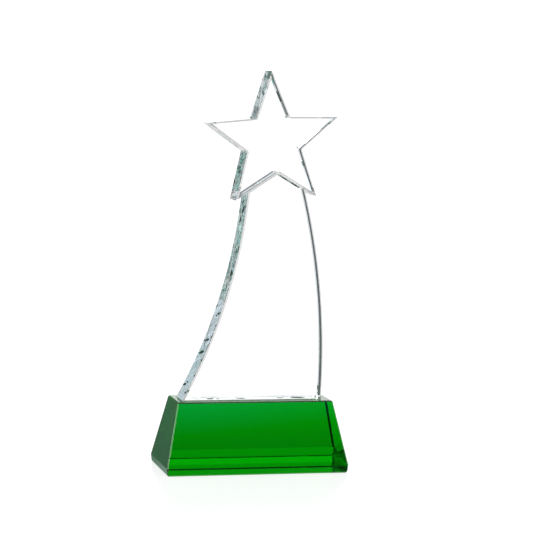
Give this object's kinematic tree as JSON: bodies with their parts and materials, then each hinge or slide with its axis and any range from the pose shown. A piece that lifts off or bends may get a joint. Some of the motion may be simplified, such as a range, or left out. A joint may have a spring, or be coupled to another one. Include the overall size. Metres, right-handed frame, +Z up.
{
  "type": "star trophy",
  "caption": "Clear crystal star leaning on a curved clear panel that stands on a solid green pyramid-sided base, all edges polished with fine bevels.",
  "frame": {"origin": "middle of the base's underside, on the surface that the trophy stands on", "axes": "+Z up, +X to the right of someone who looks at the front, and the front faces -Y"},
  "size_m": [0.118, 0.055, 0.2542],
  "materials": {
    "green_crystal": "solid transparent green crystal, polished on every face",
    "clear_crystal": "optically clear crystal, polished on every face and bevel",
    "cured_adhesive": "clear cured adhesive, smooth"
  },
  "bodies": {
    "root": {"base": "green_crystal", "panel": "clear_crystal", "star": "clear_crystal", "foot_bond": "cured_adhesive", "left_star_bond": "cured_adhesive", "right_star_bond": "cured_adhesive"}
  },
  "joints": []
}
